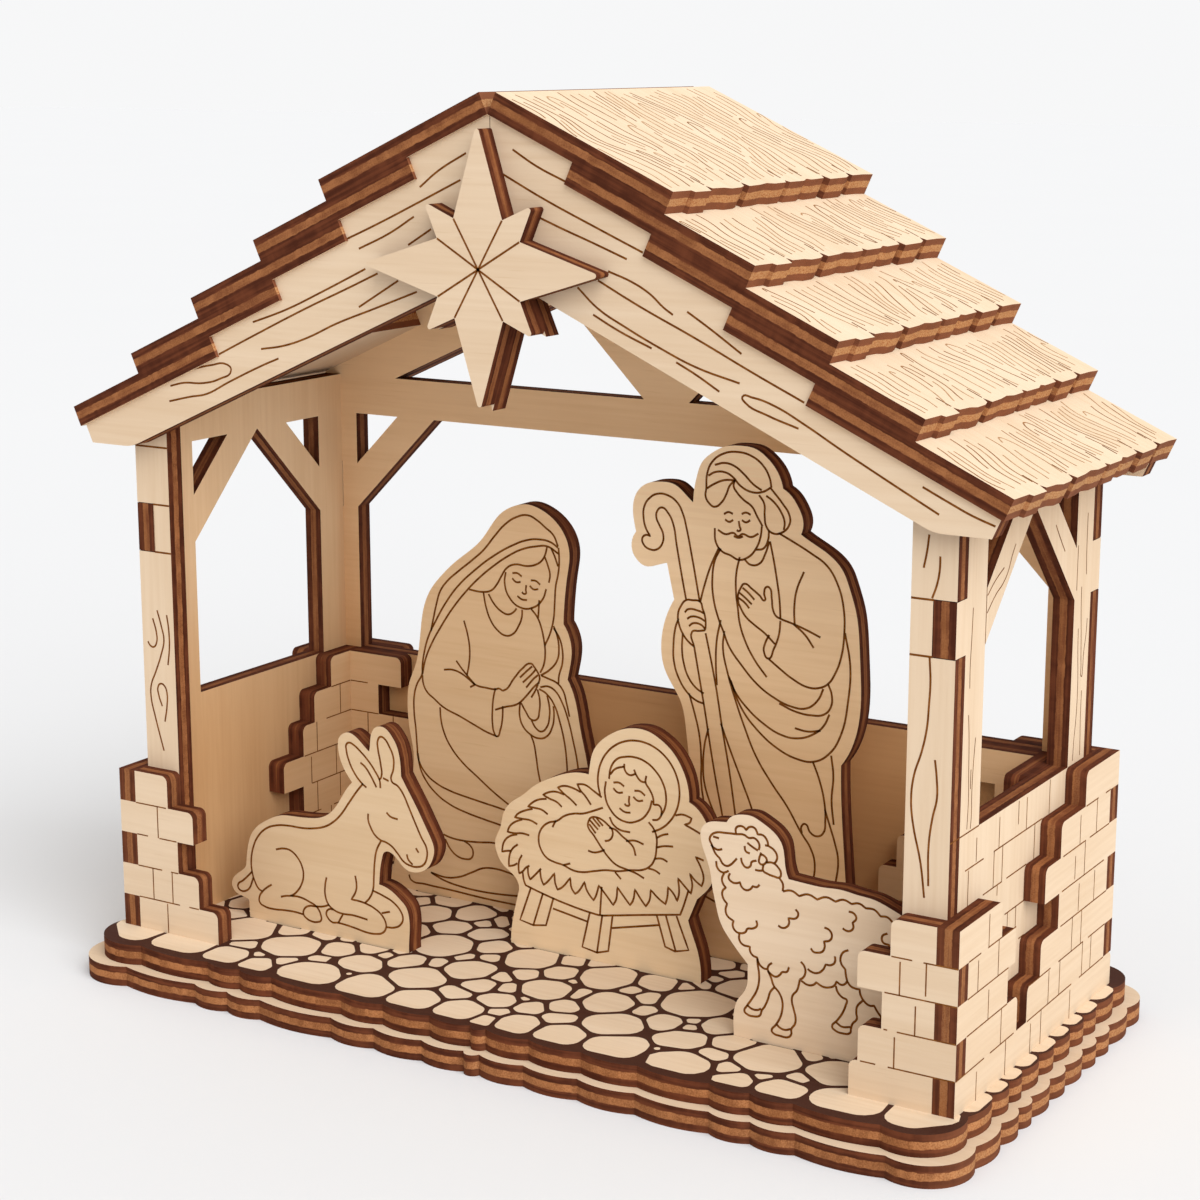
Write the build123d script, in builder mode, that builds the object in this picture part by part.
"""Nativity stable of laser-cut plywood: flat plates joined by tabs, with five lift-out figures."""
import os
from math import cos, radians, sin, tan

from build123d import *

os.makedirs("parts", exist_ok=True)

# Plywood sheet, the slack that the cutter leaves at a glued tab, and the easier slack of a figure
sheet = 3.0
kerf = 0.1
figure_slack = 0.15
figure_lift = 0.05

# Base plates: room left round the stonework, out to the cusps between the scallops of the cobbled edge
side_apron = 1.15
front_apron = 6.1
ledge = 1.7
scallop_bulge = 0.9

# Walls: over their outer faces, and heights above the cobbled floor
wall_width = 128.5
wall_depth = 47.8
wall_height = 78.0
sill_height = 34.0
beam_depth = 6.0
post_width = 6.0
brace_run = 15.0
brace_width = 7.0
wall_tab = 7.0
floor_tab = 8.0

# Gable truss: feet of the two struts on the tie beam
strut_offset = 1.7
strut_foot = 7.6
strut_width = 5.5

# Stonework: courses of small blocks, and how far the toothed ends reach
brick_round = 1.0
front_reach = 18.0
back_reach = 26.0
inner_side_reach = 24.0
inner_back_reach = 25.0

# Roof: five overlapping shingled panels on each slope
roof_slope = radians(24.2)
roof_clear = 0.2
course_count = 5
course_lap = 14.35
eave_overhang = 6.5
gable_overhang = 0.6
shingle_drop = 0.8

# Bargeboards: how far they hang below the panels, square to the slope, and the flat under their tails
board_hang = 5.8
board_setback = 0.4
eave_inset = 2.0
eave_round = 6.0

# Star: long and short points, and the valleys between them
star_rise = 0.2
star_long = 18.4
star_short = 11.75
star_valley = 7.35
star_valley_angle = 30.5
star_tip_round = 0.35

# Figures
figure_tab = 6.0
mother_width = 39.4
mother_height = 63.1
man_width = 36.4
man_height = 74.9
manger_width = 36.7
manger_height = 35.6
donkey_width = 37.6
donkey_height = 33.4
sheep_width = 33.1
sheep_height = 30.8

# Levels and faces that follow from the sizes above
floor = 2 * sheet
sill = floor + sill_height
wall_top = floor + wall_height
beam = wall_top - beam_depth
knee = beam - brace_run
half_width = wall_width / 2
half_depth = wall_depth / 2
inner_width = half_width - sheet
inner_depth = half_depth - sheet
stone_width = half_width + sheet
stone_depth = half_depth + sheet
under_courses = course_count * sheet
ridge = wall_top + roof_clear + half_width * tan(roof_slope) + under_courses / cos(roof_slope)


def save(name, part):
    """Labels a finished piece and writes its own file."""
    part.label = name
    export_step(part, f"parts/{name}.step")


def upright(rear):
    """Plane of a plate that faces the front, through its rear face."""
    return Plane.XZ.offset(-rear)


# Base: two plates with the same scalloped edge, the lower one a ledge wider all round.
# Cusps lie at shares of the half width along the long edges and of the half depth along the short ones.
front_cusp_shares = (-0.86, -0.675, -0.59, -0.505, -0.325, -0.22, -0.105, -0.005, 0.03, 0.13, 0.25,
                     0.375, 0.53, 0.615, 0.705, 0.88)
side_cusp_shares = (-0.765, -0.535, -0.38, -0.26, -0.07, 0.08, 0.265, 0.405, 0.55, 0.765)
corner_share = 0.36


def scalloped_edge(grow):
    """Closed line of arcs: one scallop between neighbouring cusps, and a rounder one at each corner."""
    across = stone_width + side_apron + grow
    along = stone_depth + front_apron + grow
    front = [(share * across, -along) for share in front_cusp_shares]
    right = [(across, share * along) for share in side_cusp_shares]
    back = [(x, along) for x, y in reversed(front)]
    left = [(-across, y) for x, y in reversed(right)]
    for edge, out in ((front, (0, -1)), (right, (1, 0)), (back, (0, 1)), (left, (-1, 0))):
        for start, end in zip(edge, edge[1:]):
            middle = (Vector(*start) + Vector(*end)) / 2 + Vector(*out) * scallop_bulge
            ThreePointArc(start, middle, end)
    edges = (front, right, back, left)
    for edge, following in zip(edges, edges[1:] + edges[:1]):
        start = Vector(*edge[-1])
        end = Vector(*following[0])
        corner = Vector(max(start.X, end.X, key=abs), max(start.Y, end.Y, key=abs))
        ThreePointArc(start, (start + end) / 2 * (1 - 2 * corner_share) + corner * 2 * corner_share, end)


with BuildPart() as base_lower_plate:
    with BuildSketch():
        with BuildLine():
            scalloped_edge(ledge)
        make_face()
    extrude(amount=sheet)
save("base_lower_plate", base_lower_plate.part)

# Places of the glued tabs in the cobbled plate: middle of each tab and its size
wall_tab_shares = (-0.55, 0.55)
back_tab_shares = (-0.6, 0.0, 0.6)
side_wall_middle = half_width - sheet / 2
glued_tabs = []
for hand in (-1, 1):
    for share in wall_tab_shares:
        glued_tabs.append((hand * side_wall_middle, share * inner_depth, sheet, floor_tab))
    post_tab_middle = half_width - post_width + sheet / 2
    glued_tabs.append((hand * post_tab_middle, sheet / 2 - half_depth, sheet, sheet))
for share in back_tab_shares:
    glued_tabs.append((share * half_width, half_depth - sheet / 2, floor_tab, sheet))


# Figures: cut round with a margin, so each outline is a loose run of curves between a few notches.
# Points are shares of a figure's width from its left and of its height from the floor.
mother_shares = (
    ((0.0, 0.0), (0.055, 0.12), (0.107, 0.255), (0.135, 0.34), (0.12, 0.40), (0.109, 0.485), (0.12, 0.53),
     (0.147, 0.57), (0.177, 0.665), (0.197, 0.728), (0.227, 0.767), (0.274, 0.802), (0.345, 0.843),
     (0.405, 0.871), (0.461, 0.901), (0.507, 0.938), (0.552, 0.971), (0.606, 0.991), (0.673, 1.0),
     (0.731, 0.992), (0.801, 0.965), (0.844, 0.928), (0.857, 0.892), (0.848, 0.846), (0.834, 0.774),
     (0.83, 0.727)),
    ((0.83, 0.727), (0.852, 0.704), (0.865, 0.67), (0.86, 0.633), (0.847, 0.596)),
    ((0.847, 0.596), (0.882, 0.546), (0.903, 0.481), (0.93, 0.41), (0.956, 0.31), (0.982, 0.18), (1.0, 0.0)),
)
man_shares = (
    ((0.308, 0.0), (0.29, 0.208), (0.273, 0.347), (0.249, 0.444), (0.221, 0.501), (0.184, 0.529),
     (0.148, 0.56), (0.134, 0.598), (0.142, 0.637), (0.164, 0.67), (0.191, 0.695)),
    ((0.191, 0.695), (0.158, 0.764)),
    ((0.158, 0.764), (0.105, 0.756), (0.059, 0.753), (0.023, 0.763), (0.0, 0.781), (0.0, 0.801),
     (0.018, 0.817)),
    ((0.018, 0.817), (0.009, 0.836), (0.004, 0.868), (0.022, 0.894), (0.062, 0.911), (0.125, 0.918),
     (0.192, 0.915), (0.236, 0.9), (0.272, 0.885)),
    ((0.272, 0.885), (0.276, 0.909), (0.289, 0.938), (0.31, 0.963), (0.353, 0.982), (0.409, 0.996),
     (0.473, 1.0), (0.538, 0.997), (0.585, 0.984), (0.623, 0.966), (0.659, 0.928)),
    ((0.659, 0.928), (0.697, 0.915), (0.723, 0.898), (0.745, 0.873), (0.737, 0.847)),
    ((0.737, 0.847), (0.797, 0.831), (0.86, 0.814), (0.911, 0.791), (0.945, 0.756), (0.972, 0.716),
     (0.993, 0.628), (1.0, 0.573), (0.991, 0.5), (0.968, 0.461), (0.924, 0.423)),
    ((0.924, 0.423), (0.926, 0.377), (0.939, 0.282), (0.96, 0.165), (0.978, 0.0)),
)
manger_shares = (
    ((0.073, 0.0), (0.078, 0.078), (0.093, 0.155), (0.113, 0.236)),
    ((0.113, 0.236), (0.085, 0.296), (0.037, 0.33), (0.004, 0.389), (0.0, 0.423), (0.025, 0.487),
     (0.039, 0.545), (0.083, 0.608), (0.13, 0.641), (0.177, 0.683), (0.248, 0.728), (0.308, 0.756),
     (0.377, 0.777), (0.439, 0.779)),
    ((0.439, 0.779), (0.445, 0.822), (0.459, 0.877), (0.491, 0.923), (0.536, 0.959), (0.589, 0.987),
     (0.647, 1.0), (0.704, 0.996), (0.757, 0.972), (0.81, 0.931), (0.845, 0.884), (0.871, 0.828),
     (0.885, 0.737)),
    ((0.885, 0.737), (0.933, 0.704), (0.968, 0.649), (0.995, 0.565), (1.0, 0.476), (0.979, 0.411),
     (0.953, 0.377), (0.923, 0.347)),
    ((0.923, 0.347), (0.885, 0.252)),
    ((0.885, 0.252), (0.903, 0.198), (0.925, 0.14), (0.939, 0.08), (0.942, 0.0)),
)
donkey_shares = (
    ((0.089, 0.0), (0.086, 0.081)),
    ((0.086, 0.081), (0.05, 0.093), (0.014, 0.109), (0.0, 0.14), (0.012, 0.176), (0.044, 0.206),
     (0.076, 0.241)),
    ((0.076, 0.241), (0.09, 0.342), (0.107, 0.393), (0.144, 0.442), (0.196, 0.48), (0.257, 0.51),
     (0.332, 0.519), (0.407, 0.526), (0.457, 0.537), (0.496, 0.559), (0.532, 0.597), (0.567, 0.654),
     (0.617, 0.726)),
    ((0.617, 0.726), (0.594, 0.758), (0.571, 0.799), (0.553, 0.873), (0.559, 0.919), (0.579, 0.94),
     (0.603, 0.949), (0.632, 0.94), (0.66, 0.918), (0.702, 0.88)),
    ((0.702, 0.88), (0.708, 0.926), (0.713, 0.958), (0.728, 0.987), (0.752, 1.0), (0.78, 0.996),
     (0.808, 0.969), (0.83, 0.933), (0.844, 0.886), (0.851, 0.794)),
    ((0.851, 0.794), (0.892, 0.721), (0.924, 0.664), (0.955, 0.603), (0.982, 0.55), (1.0, 0.495),
     (0.99, 0.444), (0.971, 0.409), (0.942, 0.385), (0.909, 0.374), (0.876, 0.376), (0.848, 0.394),
     (0.807, 0.435), (0.783, 0.444), (0.764, 0.436), (0.754, 0.411), (0.743, 0.354), (0.737, 0.285)),
    ((0.737, 0.285), (0.77, 0.278), (0.803, 0.262), (0.836, 0.236), (0.864, 0.206), (0.877, 0.163),
     (0.878, 0.085), (0.875, 0.0)),
)
sheep_shares = (
    ((0.161, 0.0), (0.159, 0.096), (0.177, 0.168), (0.199, 0.2), (0.217, 0.241), (0.22, 0.292),
     (0.22, 0.337)),
    ((0.22, 0.337), (0.169, 0.394), (0.137, 0.433), (0.109, 0.472), (0.086, 0.522), (0.072, 0.578),
     (0.057, 0.643), (0.047, 0.708), (0.029, 0.772), (0.01, 0.823), (0.0, 0.866), (0.0, 0.893),
     (0.009, 0.917), (0.027, 0.935), (0.063, 0.948), (0.117, 0.954)),
    ((0.117, 0.954), (0.153, 0.991), (0.188, 1.0), (0.229, 1.0), (0.273, 0.981), (0.327, 0.947),
     (0.363, 0.901), (0.377, 0.829), (0.396, 0.753)),
    ((0.396, 0.753), (0.457, 0.749), (0.553, 0.746), (0.618, 0.75), (0.695, 0.741), (0.759, 0.735),
     (0.831, 0.711), (0.895, 0.681), (0.95, 0.636), (0.985, 0.574), (1.0, 0.482), (0.987, 0.37),
     (0.961, 0.255), (0.955, 0.144), (0.959, 0.0)),
)
# Where each figure stands: middle as a share of the room's half width, face as a share of its half depth
figures = {
    "mother_figure": (mother_shares, mother_width, mother_height, -0.4, 0.39),
    "man_with_crook": (man_shares, man_width, man_height, 0.312, 0.33),
    "manger_with_infant": (manger_shares, manger_width, manger_height, 0.038, -0.17),
    "donkey_figure": (donkey_shares, donkey_width, donkey_height, -0.614, -0.718),
    "sheep_figure": (sheep_shares, sheep_width, sheep_height, 0.697, -0.84),
}
figure_tab_shares = (0.22, 0.78)


def figure_tabs(name):
    """Middles of a figure's two floor tabs across the stable, and the middle of its plate in depth."""
    shares, width, height, middle_share, face_share = figures[name]
    left = middle_share * inner_width - width / 2
    foot_start = left + shares[0][0][0] * width
    foot_end = left + shares[-1][-1][0] * width
    middles = [foot_start + share * (foot_end - foot_start) for share in figure_tab_shares]
    return middles, face_share * inner_depth + sheet / 2


with BuildPart() as cobble_floor_plate:
    with BuildSketch(Plane.XY.offset(sheet)):
        with BuildLine():
            scalloped_edge(0)
        make_face()
        for x, y, length, width in glued_tabs:
            with Locations((x, y)):
                Rectangle(length + 2 * kerf, width + 2 * kerf, mode=Mode.SUBTRACT)
        for name in figures:
            middles, y = figure_tabs(name)
            with Locations([(x, y) for x in middles]):
                Rectangle(figure_tab + 2 * figure_slack, sheet + 2 * figure_slack, mode=Mode.SUBTRACT)
    extrude(amount=sheet)
save("cobble_floor_plate", cobble_floor_plate.part)


# Side walls: a half wall, a window with two braces, and tabs through the posts, the back and the floor
def side_wall(inner_face):
    """Wall plate whose face nearer the left of the stable lies at the given place."""
    with BuildPart() as wall:
        with BuildSketch(Plane.YZ.offset(inner_face)):
            with Locations((0, (floor + wall_top) / 2)):
                Rectangle(2 * inner_depth, wall_height)
            with Locations((0, knee + wall_tab / 2)):
                Rectangle(2 * half_depth, wall_tab)
            with Locations([(share * inner_depth, floor - sheet / 2) for share in wall_tab_shares]):
                Rectangle(floor_tab, sheet)
            with BuildLine():
                Polyline((-brace_run, sill), (brace_run, sill), (brace_run, knee), (0, beam),
                         (-brace_run, knee), close=True)
            make_face(mode=Mode.SUBTRACT)
            for hand in (-1, 1):
                with BuildLine():
                    Polyline((hand * brace_run, knee + brace_width), (hand * brace_run, beam),
                             (hand * brace_width, beam), close=True)
                make_face(mode=Mode.SUBTRACT)
        extrude(amount=sheet)
    return wall.part


save("left_side_wall", side_wall(-half_width))
save("right_side_wall", side_wall(inner_width))


# Roof line: distance down the slope from the ridge and depth below the top panel's upper face
def under_roof(along, depth):
    """Point across the stable and up, on the right slope."""
    return (along * cos(roof_slope) - depth * sin(roof_slope),
            ridge - along * sin(roof_slope) - depth * cos(roof_slope))


def along_at(x, depth):
    """Distance down the slope where a line at this depth passes a place across the stable."""
    return (x + depth * sin(roof_slope)) / cos(roof_slope)


# The first pair of panels meet at the ridge, and the last pair end just past the bargeboards' tails
ridge_start = along_at(0, sheet) + kerf / 2
board_end = along_at(half_width + eave_overhang, under_courses)
course_step = (board_end + board_setback - ridge_start - course_lap) / course_count
course_length = course_step + course_lap


def course_start(course):
    """Distance down the slope to a panel's upper end."""
    return ridge_start + (course - 1) * course_step


def stepped_seat(start, end_along):
    """Stepped edge that carries the panels of the right slope, from near the ridge to the eave."""
    points = [under_roof(along_at(start, sheet), sheet)]
    for course in range(1, course_count):
        points.append(under_roof(course_start(course + 1), course * sheet))
        points.append(under_roof(course_start(course + 1), (course + 1) * sheet))
    return points + [under_roof(end_along, under_courses)]


def rafter_edge(x):
    """Height of the bargeboards' and rafters' straight lower edge."""
    return ridge - abs(x) * tan(roof_slope) - (under_courses + board_hang) / cos(roof_slope)


# Back wall: half wall, wide opening with corner braces, tie beam, and a gable truss of two struts
with BuildPart() as back_wall:
    seat = stepped_seat(0, along_at(half_width, under_courses))
    opening = half_width - post_width
    tie_reach = (rafter_edge(0) - wall_top) / tan(roof_slope)
    strut_rise = strut_width / cos(radians(45))
    with BuildSketch(upright(half_depth)):
        with BuildLine():
            right = [(half_width, floor)] + seat[::-1]
            Polyline(*right, *[(-x, z) for x, z in seat[1:]], (-half_width, floor), close=True)
        make_face()
        with Locations([(share * half_width, floor - sheet / 2) for share in back_tab_shares]):
            Rectangle(floor_tab, sheet)
        with BuildLine():
            Polyline((-opening, sill), (opening, sill), (opening, knee), (opening - brace_run, beam),
                     (brace_run - opening, beam), (-opening, knee), close=True)
        make_face(mode=Mode.SUBTRACT)
        for hand in (-1, 1):
            with Locations((hand * side_wall_middle, knee + wall_tab / 2)):
                Rectangle(sheet + 2 * kerf, wall_tab + 2 * kerf, mode=Mode.SUBTRACT)
            with BuildLine():
                Polyline((hand * opening, knee + brace_width), (hand * opening, beam),
                         (hand * (opening - brace_run + brace_width), beam), close=True)
            make_face(mode=Mode.SUBTRACT)
            foot = strut_foot / 2 - hand * strut_offset
            peak = (rafter_edge(0) - wall_top + foot) / (1 + tan(roof_slope))
            with BuildLine():
                Polyline((hand * foot, wall_top), (hand * tie_reach, wall_top),
                         (hand * peak, rafter_edge(peak)), close=True)
            make_face(mode=Mode.SUBTRACT)
        crotch = wall_top - strut_foot / 2 + strut_rise
        wings = []
        for hand in (-1, 1):
            wing = (rafter_edge(0) - crotch - hand * strut_offset) / (1 + tan(roof_slope))
            wings.append((hand * wing, rafter_edge(wing)))
        with BuildLine():
            Polyline((-strut_offset, crotch), wings[1], (0, rafter_edge(0)), wings[0], close=True)
        make_face(mode=Mode.SUBTRACT)
    extrude(amount=sheet)
save("back_wall", back_wall.part)


# Front posts: each notched for the side wall's tab, with a foot tab beside the wall
def front_post(hand):
    """Post at the left (-1) or right (1) of the entrance."""
    with BuildPart() as post:
        with BuildSketch(upright(sheet - half_depth)):
            with Locations((hand * (half_width - post_width / 2), (floor + wall_top) / 2)):
                Rectangle(post_width, wall_height)
            with Locations((hand * post_tab_middle, floor - sheet / 2)):
                Rectangle(sheet, sheet)
            with Locations((hand * side_wall_middle, knee + wall_tab / 2)):
                Rectangle(sheet + 2 * kerf, wall_tab + 2 * kerf, mode=Mode.SUBTRACT)
        extrude(amount=sheet)
    return post.part


save("front_left_post", front_post(-1))
save("front_right_post", front_post(1))


# Stonework: panels whose rows end in a toothed edge; the outer ones are finger-jointed at the corners,
# where the side panel takes the even rows, counted from the bottom, and the front and back the odd ones.
# Shares of the reach for each row, from the bottom up
front_left_row_shares = (1.0, 0.81, 0.60, 0.77, 0.51)
front_right_row_shares = (0.80, 0.735, 0.56, 0.75, 0.505)
back_row_shares = (1.0, 0.74, 0.87, 0.55, 0.72, 0.40, 0.58)
inner_side_left_row_shares = (1.0, 0.83, 0.655, 0.855, 0.645, 0.52, 0.335)
inner_side_right_row_shares = (0.96, 0.78, 0.90, 0.66, 0.80, 0.42, 0.56)
inner_back_row_shares = (1.0, 0.72, 0.91, 0.80, 0.52, 0.22, 0.40)
# Side panel rows as shares of the depth from the front: end of the front pile, start of the rear pile
front_pile_shares = (0.36, 0.295, 0.338, 0.249)
rear_pile_shares = (0.422, 0.501, 0.61, 0.515, 0.61, 0.768)
brick_height = sill_height / len(back_row_shares)


def stone_panel(plane, blocks):
    """Panel of (row, fixed end, free end) blocks, with the free upper corners rounded."""
    with BuildPart() as panel:
        with BuildSketch(plane) as face:
            for row, fixed, free in blocks:
                with Locations(((fixed + free) / 2, floor + (row + 0.5) * brick_height)):
                    Rectangle(abs(free - fixed), brick_height)
            for row, fixed, free in blocks:
                above = [block for block in blocks if block[0] == row + 1]
                covered = [block for block in above if min(block[1:]) <= free <= max(block[1:])]
                corner = Vector(free, floor + (row + 1) * brick_height)
                tips = face.vertices().filter_by(lambda tip: (Vector(tip) - corner).length < kerf)
                if tips and not covered:
                    fillet(tips, brick_round)
        extrude(amount=sheet)
    return panel.part


def corner_end(row):
    """Outer end of a front or back row: short on even rows, where the side panel's finger passes it."""
    return stone_width if row % 2 else half_width


front_plane = upright(-half_depth)
back_plane = upright(stone_depth)
for side, hand, front_shares in (("left", -1, front_left_row_shares), ("right", 1, front_right_row_shares)):
    blocks = []
    for row, share in enumerate(front_shares):
        blocks.append((row, hand * corner_end(row), hand * (stone_width - share * front_reach)))
    save(f"front_{side}_stonework", stone_panel(front_plane, blocks))
    blocks = []
    for row, share in enumerate(back_row_shares):
        blocks.append((row, hand * corner_end(row), hand * (stone_width - share * back_reach)))
    save(f"back_{side}_stonework", stone_panel(back_plane, blocks))

    blocks = [(0, -stone_depth, stone_depth)]
    for row, share in enumerate(front_pile_shares, start=1):
        end = half_depth if row % 2 else stone_depth
        blocks.append((row, -end, (2 * share - 1) * stone_depth))
    for row, share in enumerate(rear_pile_shares, start=1):
        end = half_depth if row % 2 else stone_depth
        blocks.append((row, end, (2 * share - 1) * stone_depth))
    side_plane = Plane.YZ.offset(half_width if hand > 0 else -stone_width)
    save(f"{side}_side_stonework", stone_panel(side_plane, blocks))

    row_shares = inner_side_right_row_shares if hand > 0 else inner_side_left_row_shares
    blocks = []
    for row, share in enumerate(row_shares):
        blocks.append((row, inner_depth, inner_depth - share * inner_side_reach))
    inner_plane = Plane.YZ.offset(inner_width - sheet if hand > 0 else -inner_width)
    save(f"inner_{side}_side_stonework", stone_panel(inner_plane, blocks))

    corner = inner_width - sheet
    blocks = []
    for row, share in enumerate(inner_back_row_shares):
        blocks.append((row, hand * corner, hand * (corner - share * inner_back_reach)))
    save(f"inner_{side}_back_stonework", stone_panel(upright(inner_depth), blocks))


# Bargeboards: two at the front and two at the back, meeting under the ridge
def bargeboard(hand, plane):
    """Board of one slope, with a stepped upper edge and a square-cut tail at the eave."""
    seat = stepped_seat(kerf / 2, board_end)
    bend = half_width - eave_inset
    eave_level = rafter_edge(bend)
    tail_x, tail_z = seat[-1]
    tail = tail_x - (tail_z - eave_level) * tan(roof_slope)
    lower = [(tail, eave_level), (bend, eave_level), (kerf / 2, rafter_edge(kerf / 2))]
    with BuildPart() as board:
        with BuildSketch(plane) as face:
            with BuildLine():
                Polyline(*[(hand * x, z) for x, z in seat + lower], close=True)
            make_face()
            corner = Vector(hand * bend, eave_level)
            fillet(face.vertices().sort_by_distance(corner)[0], eave_round)
        extrude(amount=sheet)
    return board.part


for side, hand in (("left", -1), ("right", 1)):
    save(f"front_{side}_bargeboard", bargeboard(hand, front_plane))
    save(f"rear_{side}_bargeboard", bargeboard(hand, back_plane))


# Star: an eight-pointed plate on the boards' faces, and a half plate that fills in below the boards
star_centre = Vector(0, rafter_edge(0) + star_rise)


def star_outline():
    """Long and short points in turn round the middle, with a valley on each side of every long point."""
    turns = ((0, star_long), (star_valley_angle, star_valley), (45, star_short),
             (90 - star_valley_angle, star_valley))
    points = []
    for quarter in range(4):
        for turn, reach in turns:
            points.append(star_centre + Vector(0, reach).rotate(Axis.Z, -(90 * quarter + turn)))
    Polyline(*points, close=True)


with BuildPart() as star_front:
    with BuildSketch(upright(-stone_depth)) as face:
        with BuildLine():
            star_outline()
        make_face()
        tips = face.vertices().sort_by_distance(star_centre)[-8:]
        fillet(tips, star_tip_round)
    extrude(amount=sheet)
save("star_front", star_front.part)

with BuildPart() as star_backing:
    with BuildSketch(front_plane):
        with BuildLine():
            star_outline()
        make_face()
        with BuildLine():
            Polyline((-half_width, rafter_edge(half_width) - kerf), (0, rafter_edge(0) - kerf),
                     (half_width, rafter_edge(half_width) - kerf), (half_width, ridge),
                     (-half_width, ridge), close=True)
        make_face(mode=Mode.SUBTRACT)
    extrude(amount=sheet)
save("star_backing", star_backing.part)

# Roof panels: lower edge cut as split shingles, in shares of the length from the front and of the drop
shingle_shares = (
    (0.0, 0.15), (0.078, 0.25), (0.085, 0.85), (0.155, 0.95), (0.165, -0.65), (0.176, 0.25), (0.227, 0.4),
    (0.255, 0.85), (0.3, 0.8), (0.322, 0.4), (0.333, -0.75), (0.344, 0.65), (0.398, 0.55), (0.438, 0.25),
    (0.471, 0.65), (0.527, 0.6), (0.538, -0.1), (0.549, 0.6), (0.62, 0.65), (0.647, 0.1), (0.664, 0.5),
    (0.733, 0.4), (0.745, -0.65), (0.756, 0.9), (0.845, 0.9), (0.869, 0.45), (0.882, -0.8), (0.893, 0.4),
    (0.951, 0.45), (1.0, 0.75),
)


def roof_course(hand, course):
    """One panel of the left (-1) or right (1) slope, counted from the ridge."""
    down = Vector(hand * cos(roof_slope), 0, -sin(roof_slope))
    out = Vector(hand * sin(roof_slope), 0, cos(roof_slope))
    start = course_start(course)
    end = start + course_length
    front = -hand * (stone_depth + gable_overhang)
    edge = [(end + drop * shingle_drop, front * (1 - 2 * share)) for share, drop in shingle_shares]
    with BuildPart() as panel:
        with BuildSketch(Plane(Vector(0, 0, ridge) - out * sheet * course, x_dir=down, z_dir=out)):
            with BuildLine():
                Polyline((start, -front), (start, front), *edge, close=True)
            make_face()
        extrude(amount=sheet)
    return panel.part


for course in range(1, course_count + 1):
    save(f"left_roof_course_{course}", roof_course(-1, course))
    save(f"right_roof_course_{course}", roof_course(1, course))


# Figures: flat plates that stand by two tabs in the cobbled floor and lift straight out
def figure(name):
    """One figure's plate with its two tabs."""
    shares, width, height, middle_share, face_share = figures[name]
    left = middle_share * inner_width - width / 2
    ground = floor + figure_lift
    middles, depth_middle = figure_tabs(name)
    with BuildPart() as plate:
        with BuildSketch(upright(depth_middle + sheet / 2)):
            with BuildLine():
                for run in shares:
                    points = [(left + across * width, ground + up * height) for across, up in run]
                    if len(points) > 2:
                        Spline(*points)
                    else:
                        Line(*points)
                Line((left + shares[-1][-1][0] * width, ground), (left + shares[0][0][0] * width, ground))
            make_face()
            with Locations([(x, ground - sheet / 2) for x in middles]):
                Rectangle(figure_tab, sheet)
        extrude(amount=sheet)
    return plate.part


for name in figures:
    save(name, figure(name))
